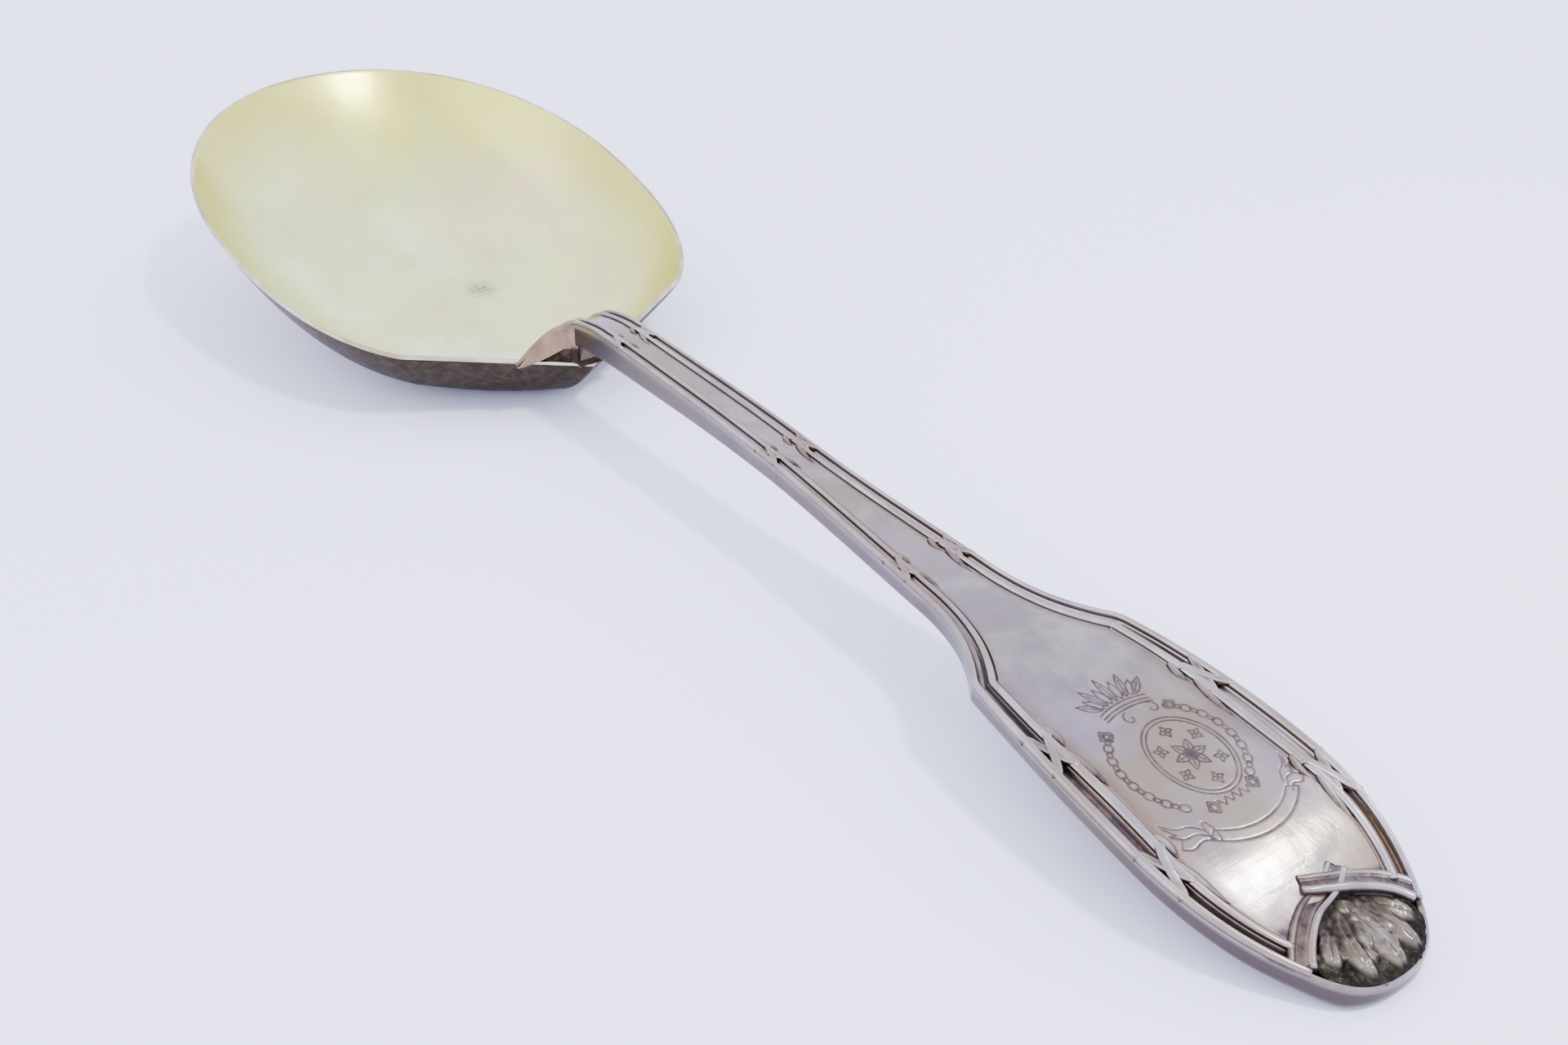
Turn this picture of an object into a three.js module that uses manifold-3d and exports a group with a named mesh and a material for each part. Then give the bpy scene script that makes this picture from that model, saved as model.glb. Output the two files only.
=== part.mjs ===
// A silver serving spoon: a raised oval bowl, gilt inside, soldered to an arched handle.
// The handle carries two reeds along each edge, bound by crossed ribbons, and ends in a leaf.
// Millimetres, +Z up, resting on Z = 0. +X runs from the bowl to the handle's tip, and the
// spoon is the same on both sides of the plane Y = 0, except where the two straps cross.

import * as THREE from 'three';
import { ParametricGeometry } from 'three/addons/geometries/ParametricGeometry.js';
import { mergeVertices } from 'three/addons/utils/BufferGeometryUtils.js';
import Module from 'manifold-3d';

const wasm = await Module();
wasm.setup();

// ---------------------------------------------------------------- driving dimensions

const LENGTH = 246.6; // the whole spoon, bowl front to handle tip
const TIP_X = LENGTH / 2; // the origin is under the middle of the spoon
const CLEARANCE = 0.1; // between pieces that lie on each other

const BOWL_LENGTH = 97.6; // front edge to the point at the neck
const BOWL_WIDTH = 74;
const BOWL_DEPTH = 15;
const BOWL_WALL = 1.4;
const BOWL_FLATNESS = 4.2; // higher gives a flatter floor and a steeper wall
const RIM_SLOPE = 0.216; // the rim climbs towards the front of the bowl
const RIM_WIDTH = 0.8; // the wall's thickness seen from above, at the rim
const RIM_LIP = 0.35; // the height of the rim's outer edge

const REED_HEIGHT = 0.55;
const RIBBON_THICKNESS = 0.45;

// Distances along the spoon are measured back from the handle's tip.
const NECK = LENGTH - BOWL_LENGTH; // where the bowl's two straight shoulders meet
const STEM_END = NECK - 0.7; // where the stem's bar ends, just behind the bowl
const BLADE_CORNER = 50.4; // the obtuse corner where the blade begins
const STEM_HALF_WIDTH = 3.4;
const CORNER_HALF_WIDTH = 11.8;
const BLADE_HALF_WIDTH = 14.7;
const BLADE_WIDEST = 23;

const along = (back) => TIP_X - back;

// ---------------------------------------------------------------- the handle's curves

const point = (a, b) => new THREE.Vector2(a, b);
const bezier = (...p) => new THREE.CubicBezierCurve(...p);

// Half of the handle's outline from above, from the tip to the neck: (distance back, half width).
const WAIST = point(65.4, 5.7);
const SLIM = point(98, 3.85);
const FRAME_CORNER = point(5, 9);
const outline = new THREE.CurvePath();
outline.add(bezier(point(0, 0), point(0, 4.4), point(1.6, 6.8), FRAME_CORNER));
outline.add(bezier(FRAME_CORNER, point(10, 12.4), point(15.5, BLADE_HALF_WIDTH),
  point(BLADE_WIDEST, BLADE_HALF_WIDTH)));
outline.add(bezier(point(BLADE_WIDEST, BLADE_HALF_WIDTH), point(34, BLADE_HALF_WIDTH),
  point(43, 13.3), point(BLADE_CORNER, CORNER_HALF_WIDTH)));
outline.add(bezier(point(BLADE_CORNER, CORNER_HALF_WIDTH), point(54.4, 8.6), point(58.4, 6.3), WAIST));
outline.add(bezier(WAIST, point(76, 5.1), point(88, 4.05), SLIM));
outline.add(bezier(SLIM, point(115, 3.7), point(132, 3.55), point(STEM_END, STEM_HALF_WIDTH)));

// The top of the handle from the side: (distance back, height). It arches up to the neck.
const arch = new THREE.SplineCurve([
  point(0, 3.4), point(8, 5.8), point(18, 8.6), point(30, 11), point(44, 12.8), point(62, 14.1),
  point(84, 15.8), point(108, 17.8), point(132, 18.9), point(143, 19.2), point(STEM_END, 18.8)]);
const ARCH_POINTS = arch.getPoints(400);

// Linear reading of a list of (distance back, value) points.
function readAt(points, back) {
  const next = points.findIndex((p) => p.x >= back);
  if (next < 1) return points[next < 0 ? points.length - 1 : 0].y;
  const a = points[next - 1];
  const b = points[next];
  return a.y + ((b.y - a.y) * (back - a.x)) / (b.x - a.x);
}

const topHeight = (back) => readAt(ARCH_POINTS, back) - REED_HEIGHT;

// How thick the bar is, under the reeds: thickest at the neck and at the tip.
const THICKNESS = [point(0, 2.95), point(2, 3.4), point(6, 3.1), point(20, 2.7), point(40, 2.5),
  point(66, 2.6),
  point(90, 2.7), point(114, 3.2), point(STEM_END, 4.4)];
const underHeight = (back) => Math.max(0, topHeight(back) - readAt(THICKNESS, back));

// ---------------------------------------------------------------- turning shapes into solids

// Merges shared vertices, drops flattened triangles, and faces the surface outwards.
function closed(geometry) {
  geometry.deleteAttribute('normal');
  geometry.deleteAttribute('uv');
  const merged = mergeVertices(geometry, 1e-4);
  const source = merged.getIndex().array;
  const kept = [];
  for (let i = 0; i < source.length; i += 3) {
    const [a, b, c] = [source[i], source[i + 1], source[i + 2]];
    if (a !== b && b !== c && c !== a) kept.push(a, b, c);
  }
  const p = merged.getAttribute('position');
  const corner = (i) => new THREE.Vector3().fromBufferAttribute(p, kept[i]);
  let volume = 0;
  for (let i = 0; i < kept.length; i += 3) {
    volume += corner(i).dot(corner(i + 1).cross(corner(i + 2)));
  }
  if (volume < 0) kept.reverse();
  merged.setIndex(kept);
  return merged;
}

// Skins a row of rings, each a closed loop with the same number of points, and caps both ends.
function loft(rings) {
  const around = rings[0].length;
  const middle = (ring) => ring.reduce((sum, p) => sum.add(p), new THREE.Vector3())
    .divideScalar(around);
  const first = middle(rings[0]);
  const last = middle(rings[rings.length - 1]);
  const rows = [rings[0].map(() => first), ...rings, rings[0].map(() => last)];
  const steps = rows.length - 1;
  const skin = (u, v, target) => {
    target.copy(rows[Math.round(v * steps)][Math.round(u * around) % around]);
  };
  return closed(new ParametricGeometry(skin, around, steps));
}

function toManifold(geometry) {
  const solid = closed(geometry);
  return new wasm.Manifold(new wasm.Mesh({
    numProp: 3,
    vertProperties: new Float32Array(solid.getAttribute('position').array),
    triVerts: new Uint32Array(solid.getIndex().array),
  }));
}

function fromManifold(solid) {
  const { vertProperties, triVerts } = solid.getMesh();
  const geometry = new THREE.BufferGeometry();
  geometry.setAttribute('position', new THREE.BufferAttribute(vertProperties, 3));
  geometry.setIndex(new THREE.BufferAttribute(triVerts, 1));
  return closed(geometry);
}

// ---------------------------------------------------------------- materials

const metal = (color, roughness) => new THREE.MeshStandardMaterial({
  color, roughness, metalness: 1,
});
const SILVER = metal(0xb9b3bd, 0.3);
const WORN_SILVER = metal(0xd8d5d6, 0.24);
const DARK_SILVER = metal(0x8d8a88, 0.42);
const GILT = metal(0xd9d3b4, 0.34);
const SOLDER = metal(0xa79c92, 0.5);

const spoon = new THREE.Group();

function add(name, geometry, material) {
  const mesh = new THREE.Mesh(geometry, material);
  mesh.name = name;
  spoon.add(mesh);
  return mesh;
}

// ---------------------------------------------------------------- the bowl

const BOWL_MIDDLE = NECK + 49; // back from the tip, on the widest line of the floor
const BOWL_WIDEST = NECK + 52;
const CORNER_BACK = NECK + 13.8; // where each straight shoulder starts
const CORNER_WIDTH = 25.5;
const RIM_AT_CORNER = 12.6; // height of the rim there
const NECK_RIM = RIM_AT_CORNER - RIM_SLOPE * (CORNER_BACK - NECK);
const rimHeight = (back) => NECK_RIM + RIM_SLOPE * (back - NECK);

// Half of the rim from above, from the neck's point round to the front.
function bowlOutline() {
  const half = BOWL_WIDTH / 2;
  const rim = new THREE.CurvePath();
  const corner = point(CORNER_BACK, CORNER_WIDTH);
  const side = point(BOWL_WIDEST, half);
  const neck = point(NECK, 0);
  rim.add(bezier(neck, neck.clone().lerp(corner, 1 / 3), neck.clone().lerp(corner, 2 / 3), corner));
  rim.add(bezier(corner, point(CORNER_BACK + 7, 33), point(BOWL_WIDEST - 19, half), side));
  rim.add(bezier(side, point(BOWL_WIDEST + 26.5, half), point(LENGTH, 21.5), point(LENGTH, 0)));
  const near = rim.getPoints(14).filter((p, i, all) => i === 0 || p.distanceTo(all[i - 1]) > 1e-6);
  const far = near.slice(1, -1).reverse().map((p) => point(p.x, -p.y));
  return [...near, ...far];
}

const RIM = bowlOutline();

// One level ring of the bowl. size 1 is the rim, and inner rings lose the shoulders' corners.
function bowlRing(size, inset) {
  const longHalf = BOWL_LENGTH / 2;
  const wideHalf = BOWL_WIDTH / 2;
  const keep = THREE.MathUtils.smoothstep(size, 0.45, 1);
  return RIM.map((p) => {
    const x = p.x - BOWL_MIDDLE;
    const angle = Math.atan2(p.y, x);
    const radius = (longHalf * wideHalf)
      / Math.hypot(wideHalf * Math.cos(angle), longHalf * Math.sin(angle));
    const reach = Math.hypot(x, p.y);
    const mixed = (radius * (1 - keep) + reach * keep) * size - inset;
    return point(BOWL_MIDDLE + mixed * Math.cos(angle), mixed * Math.sin(angle));
  });
}

const outerDrop = (size) => BOWL_WALL + (RIM_LIP - BOWL_WALL) * size ** 8;
const bowlDepth = (size) => BOWL_DEPTH * (1 - size ** BOWL_FLATNESS);
const RING_SIZES = [0.04, 0.16, 0.3, 0.42, 0.52, 0.62, 0.72, 0.81, 0.88, 0.94, 1];

function bowlSurface(size, inset, drop) {
  return bowlRing(size, inset).map((p) => new THREE.Vector3(
    along(p.x), p.y, Math.max(0, rimHeight(p.x) - bowlDepth(size) - drop)));
}

function bowl() {
  const inside = RING_SIZES.map((size) => bowlSurface(size, RIM_WIDTH * size ** 2, 0));
  const outside = RING_SIZES.map((size) => bowlSurface(size, 0, outerDrop(size)));
  return loft([...inside, bowlSurface(1, 0, 0), ...outside.reverse()]);
}

// The bowl's outside, filled in and a little larger, for cutting what hugs it.
function bowlEnvelope() {
  const room = 0.35;
  const rings = RING_SIZES.slice(3).map((size) => bowlSurface(size, -room, BOWL_WALL + room)
    .map((p) => p.setZ(p.z - room)));
  const lid = bowlSurface(1, -room, -room);
  return toManifold(loft([...rings, lid]));
}

add('bowl', bowl(), GILT);

// ---------------------------------------------------------------- the neck

const WING_REACH = 10.4; // how far each wing runs out along the bowl's shoulder
const NOSE_HALF_WIDTH = STEM_HALF_WIDTH;
const SHOULDER_LEAN = (CORNER_BACK - NECK) / CORNER_WIDTH;

const SHOULDER_START = STEM_END + 0.2; // a hair past the end of the stem
const NOSE_LENGTH = 8; // how far the nose reaches over the bowl
const NOSE_ABOVE_RIM = 1.4; // where the nose's curve ends
const NOSE_BELOW_RIM = 0.6;

// The rounded nose in which the stem hooks over the bowl's edge, seen from the side.
function nose() {
  const back = -along(SHOULDER_START);
  const front = back + NOSE_LENGTH;
  const top = topHeight(STEM_END);
  const rim = rimHeight(NECK);
  const side = new THREE.Shape();
  side.moveTo(back, rim - NOSE_BELOW_RIM);
  side.lineTo(back, top);
  side.bezierCurveTo(back + 0.43 * NOSE_LENGTH, top - 0.2, back + 0.8 * NOSE_LENGTH, top - 2.6,
    front, rim + NOSE_ABOVE_RIM);
  side.lineTo(front, rim - NOSE_BELOW_RIM);
  const body = new THREE.ExtrudeGeometry(side, {
    depth: 2 * NOSE_HALF_WIDTH, bevelEnabled: false, curveSegments: 8,
  });
  body.rotateX(Math.PI / 2).rotateZ(Math.PI).translate(0, -NOSE_HALF_WIDTH, 0);
  return toManifold(body);
}

const WING_LIP = 0.5; // how far a wing's end stands above, behind and in front of the rim
const WING_RISE = 5.9; // how much higher a wing stands beside the nose than at its end
const WING_THICKENING = 2.4; // and how much thicker it is there
const WING_DROP = 2.4; // how far it laps down behind the rim there

// A wing is a lip that leaves the nose's side and thins out along the bowl's shoulder.
function wings() {
  const steps = 18;
  const rings = [];
  for (let i = 0; i <= steps; i += 1) {
    const y = WING_REACH * ((2 * i) / steps - 1);
    const out = THREE.MathUtils.clamp((Math.abs(y) - NOSE_HALF_WIDTH)
      / (WING_REACH - NOSE_HALF_WIDTH), 0, 1);
    const fade = 1 - out;
    const rimBack = NECK + SHOULDER_LEAN * Math.abs(y);
    const rim = rimHeight(rimBack);
    const behind = rimBack - WING_LIP - 0.3 * out;
    const front = rimBack + WING_LIP + WING_THICKENING * fade;
    const top = rim + WING_LIP + WING_RISE * fade;
    const bottom = rim - WING_DROP + 1.6 * out;
    rings.push([[behind, bottom], [behind - 0.5 * out, rim], [behind, top - 0.3],
      [(behind + front) / 2, top], [front, top - 0.8 - fade], [front, rim - 1],
      [(behind + front) / 2, bottom]]
      .map(([back, z]) => new THREE.Vector3(along(back), y, z)));
  }
  return toManifold(loft(rings));
}

const stemEndFace = new THREE.BoxGeometry(20, 40, 60);
stemEndFace.translate(along(SHOULDER_START) + 10, 0, 0);
const shoulder = nose().add(wings()).subtract(bowlEnvelope()).subtract(toManifold(stemEndFace));
add('neck_shoulder', fromManifold(shoulder), SILVER);

// ---------------------------------------------------------------- the handle's bar

const OUTLINE = outline.getPoints(9).filter((p, i, all) => i === 0
  || p.distanceTo(all[i - 1]) > 1e-6);

function handle() {
  const shave = 0.4; // the small chamfer on each long edge
  const rings = OUTLINE.slice(1).map((p) => {
    const top = topHeight(p.x);
    const under = underHeight(p.x);
    const cut = Math.min(shave, p.y / 3);
    const half = [[p.y - cut, top], [p.y, top - cut], [p.y, under + cut], [p.y - cut, under]];
    const ring = [...half, ...half.map(([y, z]) => [-y, z]).reverse()];
    return ring.map(([y, z]) => new THREE.Vector3(along(p.x), y, z));
  });
  const tip = rings[0].map((p) => new THREE.Vector3(along(0), p.y * 0.3, p.z));
  return loft([tip, ...rings]);
}

add('handle', handle(), SILVER);

// ---------------------------------------------------------------- the reeds

// Points of the outline moved inwards by a distance that may change along the way.
function insetPath(inset, from, to) {
  const moved = OUTLINE.map((p, i) => {
    const before = OUTLINE[Math.max(i - 1, 0)];
    const after = OUTLINE[Math.min(i + 1, OUTLINE.length - 1)];
    const tangent = after.clone().sub(before).normalize();
    return point(p.x + tangent.y * inset(p.x), p.y - tangent.x * inset(p.x));
  });
  return moved.filter((p) => p.x > from && p.x < to);
}

// How far each reed's middle lies from the edge, and how wide it is: wider on the blade.
const bandSpread = (back) => THREE.MathUtils.smoothstep(-back, -95, -14);
const REEDS = [
  { name: 'outer', inset: (back) => 0.6 + 0.2 * bandSpread(back), width: 0.9, start: 5.6 },
  { name: 'inner', inset: (back) => 1.8 + 1.1 * bandSpread(back), width: 0.8, start: 7.9 },
];
const SIDES = [{ name: 'left', sign: 1 }, { name: 'right', sign: -1 }];

const ROUND_TOP = [[-0.5, 0], [-0.42, 0.6], [-0.18, 1], [0.18, 1], [0.42, 0.6], [0.5, 0]];

// A strip with a rounded top, laid on the handle along a path seen from above.
function strip(path, width, height, lift) {
  const rings = path.map((p, i) => {
    const before = path[Math.max(i - 1, 0)];
    const after = path[Math.min(i + 1, path.length - 1)];
    const tangent = after.clone().sub(before).normalize();
    return ROUND_TOP.map(([side, up]) => {
      const back = p.x + tangent.y * side * width;
      const y = p.y - tangent.x * side * width;
      const z = topHeight(back) + CLEARANCE + lift(i / (path.length - 1)) + up * height;
      return new THREE.Vector3(along(back), y, z);
    });
  });
  return loft(rings);
}

const flatLift = () => 0;

for (const reed of REEDS) {
  for (const side of SIDES) {
    const path = insetPath(reed.inset, reed.start, STEM_END - 1)
      .map((p) => point(p.x, side.sign * p.y));
    add(`${reed.name}_reed_${side.name}`,
      strip(path, reed.width, REED_HEIGHT - CLEARANCE, flatLift), WORN_SILVER);
  }
}

// ---------------------------------------------------------------- the ribbon ties

const TIES = [
  { name: 'neck', back: 137.6, reach: 2.1 },
  { name: 'upper_stem', back: 99.8, reach: 2.4 },
  { name: 'lower_stem', back: 71.4, reach: 2.7 },
  { name: 'upper_blade', back: 37.8, reach: 3 },
  { name: 'lower_blade', back: 20, reach: 3.3 },
];

// A cross of two narrow bands, flat, with its arms along the diagonals of a box.
function crossShape(long, wide, band) {
  const notchLong = long - band;
  const notchWide = wide - band * 0.7;
  const shape = new THREE.Shape();
  shape.moveTo(long, wide);
  for (const [x, y] of [[notchLong, wide], [0, band * 0.6], [-notchLong, wide], [-long, wide],
    [-long, notchWide], [-band * 0.9, 0], [-long, -notchWide], [-long, -wide],
    [-notchLong, -wide], [0, -band * 0.6], [notchLong, -wide], [long, -wide],
    [long, -notchWide], [band * 0.9, 0], [long, notchWide]]) {
    shape.lineTo(x, y);
  }
  return shape;
}

for (const tie of TIES) {
  for (const side of SIDES) {
    const middle = (back) => (REEDS[0].inset(back) + REEDS[1].inset(back)) / 2;
    const path = insetPath(middle, 0, LENGTH);
    const here = readAt(path, tie.back);
    const ahead = readAt(path, tie.back + 2);
    const slope = (topHeight(tie.back + 2) - topHeight(tie.back - 2)) / 4;
    const half = REEDS[1].inset(tie.back) - middle(tie.back) + 0.5;
    const cross = new THREE.ExtrudeGeometry(crossShape(tie.reach, half, 1), {
      depth: RIBBON_THICKNESS, bevelEnabled: false,
    });
    const mesh = add(`${tie.name}_tie_${side.name}`, closed(cross), WORN_SILVER);
    const turn = Math.atan2(ahead - here, 2);
    mesh.rotation.set(0, Math.atan(slope), -side.sign * turn, 'ZYX');
    mesh.position.set(along(tie.back), side.sign * here, topHeight(tie.back) + REED_HEIGHT + 0.3);
  }
}

// ---------------------------------------------------------------- the straps and the leaf

// Each strap leaves the frame's corner, runs to the middle, and crosses a little past it.
function strapPath(sign) {
  const curve = new THREE.QuadraticBezierCurve(
    point(7, sign * 6.4), point(9, sign * 3.4), point(12.3, -sign * 1.9));
  return curve.getPoints(14);
}

const STRAP_WIDTH = 2.4;
const STRAP_HEIGHT = 0.6;
const OVERPASS = STRAP_HEIGHT + 0.2;
const hump = (t) => OVERPASS * THREE.MathUtils.smoothstep(t, 0.25, 0.6);

add('corner_strap_left', strip(strapPath(1), STRAP_WIDTH, STRAP_HEIGHT, hump), WORN_SILVER);
add('corner_strap_right', strip(strapPath(-1), STRAP_WIDTH, STRAP_HEIGHT, flatLift), WORN_SILVER);

const LEAF_START = 0.9;
const LEAF_LENGTH = 7.2;
const LEAF_HALF_WIDTH = 6.6;
const LEAF_EDGE = 0.25; // its thickness at the ends
const LEAF_DOME = 1.5;

// The leaf fills the tip: a ribbed dome with pointed lobes.
function leaf() {
  const rows = 11;
  const rings = [];
  for (let i = 0; i <= rows; i += 1) {
    const t = i / rows;
    const back = LEAF_START + LEAF_LENGTH * t;
    const lobes = 1 + 0.13 * Math.cos(t * Math.PI * 6);
    const swell = Math.sin(Math.PI * (0.16 + 0.8 * t)) ** 0.7 * (1 - 0.35 * t);
    const half = LEAF_HALF_WIDTH * swell * lobes;
    const height = LEAF_EDGE + LEAF_DOME * Math.sin(Math.PI * (0.1 + 0.85 * t));
    const base = topHeight(back) + CLEARANCE;
    rings.push([[-1, 0], [-0.75, 0.6], [-0.42, 0.5], [0, 1], [0.42, 0.5], [0.75, 0.6], [1, 0]]
      .map(([y, z]) => new THREE.Vector3(along(back), y * half, base + z * height)));
  }
  return loft(rings);
}

add('acanthus_leaf', leaf(), DARK_SILVER);

// ---------------------------------------------------------------- the solder joint

const SOLDER_HALF_WIDTH = 2.9;
const SOLDER_REACH = 1.9; // along the stem's underside
const SOLDER_DROP = 2.2; // down the shoulder, at its edges
const SOLDER_SAG = 0.6; // and how much further in its middle

// A fillet under the stem's end, where the bar, the shoulder and the bowl are joined.
function fillet() {
  const steps = 8;
  const rings = [];
  for (let i = 0; i <= steps; i += 1) {
    const y = SOLDER_HALF_WIDTH * ((2 * i) / steps - 1);
    const sag = 1 - 0.25 * Math.abs(y);
    const back = STEM_END - 0.35;
    const top = underHeight(back) - 0.15;
    rings.push([[back, top], [back - SOLDER_REACH, top - 0.05],
      [back - 0.37 * SOLDER_REACH, top - 0.9 - 0.4 * sag],
      [back, top - SOLDER_DROP - SOLDER_SAG * sag]]
      .map(([b, z]) => new THREE.Vector3(along(b), y, z)));
  }
  return loft(rings);
}

add('neck_solder', fillet(), SOLDER);

export default spoon;
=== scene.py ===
# Looks of a silver serving spoon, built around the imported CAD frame.
# Lengths are millimetres until a mesh is made, and "back" is the distance behind the handle's tip.
# The spoon lies along X: the bowl is at -X and the tip at +X. Its near side is -Y.

import math

import bmesh
import bpy
import numpy as np
from mathutils import Matrix, Vector

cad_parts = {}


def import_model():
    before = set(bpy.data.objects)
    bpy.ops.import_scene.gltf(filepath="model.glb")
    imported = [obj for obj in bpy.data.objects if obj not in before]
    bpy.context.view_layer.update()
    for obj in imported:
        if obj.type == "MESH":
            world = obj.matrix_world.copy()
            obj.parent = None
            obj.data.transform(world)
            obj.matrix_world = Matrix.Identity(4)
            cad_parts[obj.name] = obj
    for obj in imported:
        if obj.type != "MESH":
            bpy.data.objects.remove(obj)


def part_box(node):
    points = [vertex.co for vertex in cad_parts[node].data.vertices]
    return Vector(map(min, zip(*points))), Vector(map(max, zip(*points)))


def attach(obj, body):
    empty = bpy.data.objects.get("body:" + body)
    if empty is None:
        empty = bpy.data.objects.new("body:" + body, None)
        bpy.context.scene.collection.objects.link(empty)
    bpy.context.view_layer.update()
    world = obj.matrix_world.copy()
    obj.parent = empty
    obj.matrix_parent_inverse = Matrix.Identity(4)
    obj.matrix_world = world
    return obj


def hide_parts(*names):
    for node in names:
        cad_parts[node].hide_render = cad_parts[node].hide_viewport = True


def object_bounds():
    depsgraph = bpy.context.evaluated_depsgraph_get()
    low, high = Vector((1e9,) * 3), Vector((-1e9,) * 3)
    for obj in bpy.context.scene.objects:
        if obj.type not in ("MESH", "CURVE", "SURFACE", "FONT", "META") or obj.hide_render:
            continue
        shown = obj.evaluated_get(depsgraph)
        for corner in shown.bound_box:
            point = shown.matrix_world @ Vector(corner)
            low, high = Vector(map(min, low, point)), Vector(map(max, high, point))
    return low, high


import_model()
cad_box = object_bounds()
MM = 0.001

TIP_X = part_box("handle")[1].x / MM
LENGTH = TIP_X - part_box("bowl")[0].x / MM
STEM_END = TIP_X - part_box("handle")[0].x / MM
NECK = TIP_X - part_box("bowl")[1].x / MM

# ---- curves of the spoon


def bezier(p0, p1, p2, p3, n=160):
    t = np.linspace(0, 1, n)[:, None]
    p = [np.array(q, float) for q in (p0, p1, p2, p3)]
    return (p[0] * (1 - t) ** 3 + 3 * p[1] * t * (1 - t) ** 2
            + 3 * p[2] * t * t * (1 - t) + p[3] * t ** 3)


def chain(*pieces):
    return np.vstack([pieces[0]] + [p[1:] for p in pieces[1:]])


def lengths(path):
    steps = np.linalg.norm(np.diff(path, axis=0), axis=1)
    return np.concatenate([[0], np.cumsum(steps)])


def resample(path, at):
    """The path's points at these distances along it."""
    along = lengths(path)
    return np.column_stack([np.interp(at, along, path[:, k]) for k in range(path.shape[1])])


def soften(values):
    """A running mean over five numbers, with the ends held."""
    return np.convolve(np.pad(values, 2, mode="edge"), np.ones(5) / 5, "valid")


def smoothstep(x, a, b):
    t = np.clip((np.asarray(x, float) - a) / (b - a), 0, 1)
    return t * t * (3 - 2 * t)


def spline(points, samples=1200):
    """A Catmull-Rom curve through (back, value) points, smoothed a little, as a function."""
    p = np.array(points, float)
    t = np.linspace(0, len(p) - 1, samples)
    i = np.minimum(t.astype(int), len(p) - 2)
    w = (t - i)[:, None]
    at = lambda k: p[np.clip(k, 0, len(p) - 1)]
    v0 = (at(i + 1) - at(i - 1)) / 2
    v1 = (at(i + 2) - at(i)) / 2
    q = ((2 * at(i) - 2 * at(i + 1) + v0 + v1) * w ** 3
         + (-3 * at(i) + 3 * at(i + 1) - 2 * v0 - v1) * w ** 2 + v0 * w + at(i))
    return lambda x: np.interp(x, q[:, 0], q[:, 1])


# Half of the handle's outline from above, from the tip to the neck: (back, half width).
OUTLINE = chain(
    bezier((0, 0), (0, 4.4), (1.6, 6.8), (5, 9)),
    bezier((5, 9), (10, 12.4), (15.5, 14.7), (23, 14.7)),
    bezier((23, 14.7), (34, 14.7), (43, 13.3), (50.4, 11.8)),
    bezier((50.4, 11.8), (54.4, 8.6), (58.4, 6.3), (65.4, 5.7)),
    bezier((65.4, 5.7), (76, 5.1), (88, 4.05), (98, 3.85)),
    bezier((98, 3.85), (115, 3.7), (132, 3.55), (STEM_END, 3.4)))
REED_HEIGHT = 0.55
arch = spline([(0, 3.4), (8, 5.8), (18, 8.6), (30, 11), (44, 12.8), (62, 14.1), (84, 15.8),
               (108, 17.8), (132, 18.9), (143, 19.2), (148.3, 18.8)])
thickness = spline([(0, 2.95), (2, 3.4), (6, 3.1), (20, 2.7), (40, 2.5), (66, 2.6), (90, 2.7),
                    (114, 3.2), (148.3, 4.4)])
# The reeds' tops over the end of the stem, where it bends down into the bowl.
hump = spline([(STEM_END - 6, 19.15), (STEM_END - 3, 18.85), (STEM_END, 18.25),
               (STEM_END + 2.1, 17.3), (STEM_END + 4.1, 15.9), (STEM_END + 6.4, 13.8),
               (STEM_END + 7.8, 11.8), (STEM_END + 8.6, 9.6)])
top = lambda back: np.minimum(arch(back), hump(back)) - REED_HEIGHT
under = lambda back: np.maximum(0, arch(back) - REED_HEIGHT - thickness(back))

# How wide the reeded band is along each edge.
band = spline([(0, 3.0), (8, 3.1), (14, 3.4), (29, 4.5), (44, 3.5), (56, 2.9), (66, 2.6),
               (108, 2.35), (149, 2.1)])

ALONG = lengths(OUTLINE)
fine = resample(OUTLINE, np.linspace(0, ALONG[-1], 3200))
tangent = np.gradient(fine, axis=0)
tangent /= np.linalg.norm(tangent, axis=1)[:, None]
SMOOTH = 13
kernel = np.ones(SMOOTH) / SMOOTH
padded = np.pad(tangent, ((SMOOTH // 2, SMOOTH // 2), (0, 0)), mode="edge")
tangent = np.column_stack([np.convolve(padded[:, k], kernel, "valid") for k in range(2)])
tangent[0] = (0, 1)
normal = np.column_stack([tangent[:, 1], -tangent[:, 0]])
normal /= np.linalg.norm(normal, axis=1)[:, None]


def inset_curve(share):
    """The outline moved inwards by a share of the band."""
    return fine + normal * (share * band(fine[:, 0]))[:, None]


# ---- meshes


def add_object(name, data):
    obj = bpy.data.objects.new(name, data)
    bpy.context.scene.collection.objects.link(obj)
    return obj


def world(points):
    """(back, y, z) in millimetres to metres in the object's frame."""
    p = np.asarray(points, float)
    return np.column_stack([(TIP_X - p[:, 0]) * MM, p[:, 1] * MM, p[:, 2] * MM])


def add_values(mesh, name, numbers):
    """Stores a number at each vertex, for the materials."""
    attribute = mesh.attributes.new(name, "FLOAT", "POINT")
    attribute.data.foreach_set("value", np.asarray(numbers, np.float32).reshape(-1))


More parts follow.
